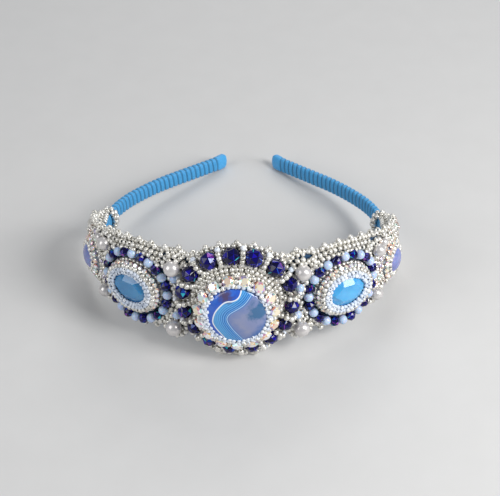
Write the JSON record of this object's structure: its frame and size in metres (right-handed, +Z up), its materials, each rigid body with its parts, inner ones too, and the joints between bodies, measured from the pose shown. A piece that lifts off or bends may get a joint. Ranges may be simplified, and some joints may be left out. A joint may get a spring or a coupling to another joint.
{
  "type": "beaded headband",
  "caption": "Headband: a cord-wound hoop carrying a felt band of silver beadwork with a domed agate, oval and round stones in beaded walls, cut beads and pearls.",
  "frame": {"origin": "under the middle of the object's box, on the surface that the headband lies on", "axes": "+Z up, +Y from the brow towards the two tips, +X towards the picture's right"},
  "size_m": [0.1432, 0.144, 0.0564],
  "materials": {
    "satin_cord": "sky-blue satin cord wound round the hoop",
    "felt": "denim-blue felt",
    "silver_beadwork": "silver-coated glass seed beads",
    "agate": "polished banded blue agate",
    "cobalt_glass": "fire-polished cobalt glass",
    "pale_opal_glass": "milky pale blue glass",
    "sky_glass": "polished sky-blue glass",
    "lilac_opal": "polished lilac opal glass",
    "pearl": "silver-white pearl coat",
    "crystal": "clear cut crystal with a rainbow coat"
  },
  "bodies": {
    "root": {"agate_cabochon": "agate", "brow_pearl_lower_left": "pearl", "brow_pearl_lower_right": "pearl", "brow_pearl_upper_left": "pearl", "brow_pearl_upper_right": "pearl", "cut_bead_01": "cobalt_glass", "cut_bead_02": "cobalt_glass", "cut_bead_03": "cobalt_glass", "cut_bead_04": "cobalt_glass", "cut_bead_05": "cobalt_glass", "cut_bead_06": "cobalt_glass", "cut_bead_07": "cobalt_glass", "cut_bead_08": "cobalt_glass", "cut_bead_09": "cobalt_glass", "cut_bead_10": "cobalt_glass", "cut_bead_11": "cobalt_glass", "cut_bead_12": "cobalt_glass", "cut_bead_13": "cobalt_glass", "cut_bead_14": "cobalt_glass", "cut_bead_15": "cobalt_glass", "end_collar_left": "silver_beadwork", "end_collar_right": "silver_beadwork", "end_crystal_left": "crystal", "end_crystal_right": "crystal", "felt_backing": "felt", "flank_bead_ring_left": "cobalt_glass", "flank_bead_ring_right": "cobalt_glass", "flank_bezel_left": "silver_beadwork", "flank_bezel_right": "silver_beadwork", "flank_stone_left": "sky_glass", "flank_stone_right": "sky_glass", "lower_edging": "silver_beadwork", "pale_bead_lower_left": "pale_opal_glass", "pale_bead_lower_right": "pale_opal_glass", "pale_bead_upper_left": "pale_opal_glass", "pale_bead_upper_right": "pale_opal_glass", "rhinestone_bezel": "silver_beadwork", "side_bezel_left": "silver_beadwork", "side_bezel_right": "silver_beadwork", "side_stone_left": "lilac_opal", "side_stone_right": "lilac_opal", "small_pearl_left": "pearl", "small_pearl_right": "pearl", "temple_pearl_lower_left": "pearl", "temple_pearl_lower_right": "pearl", "temple_pearl_upper_left": "pearl", "temple_pearl_upper_right": "pearl", "upper_edging": "silver_beadwork", "wrapped_hoop": "satin_cord"}
  },
  "joints": []
}
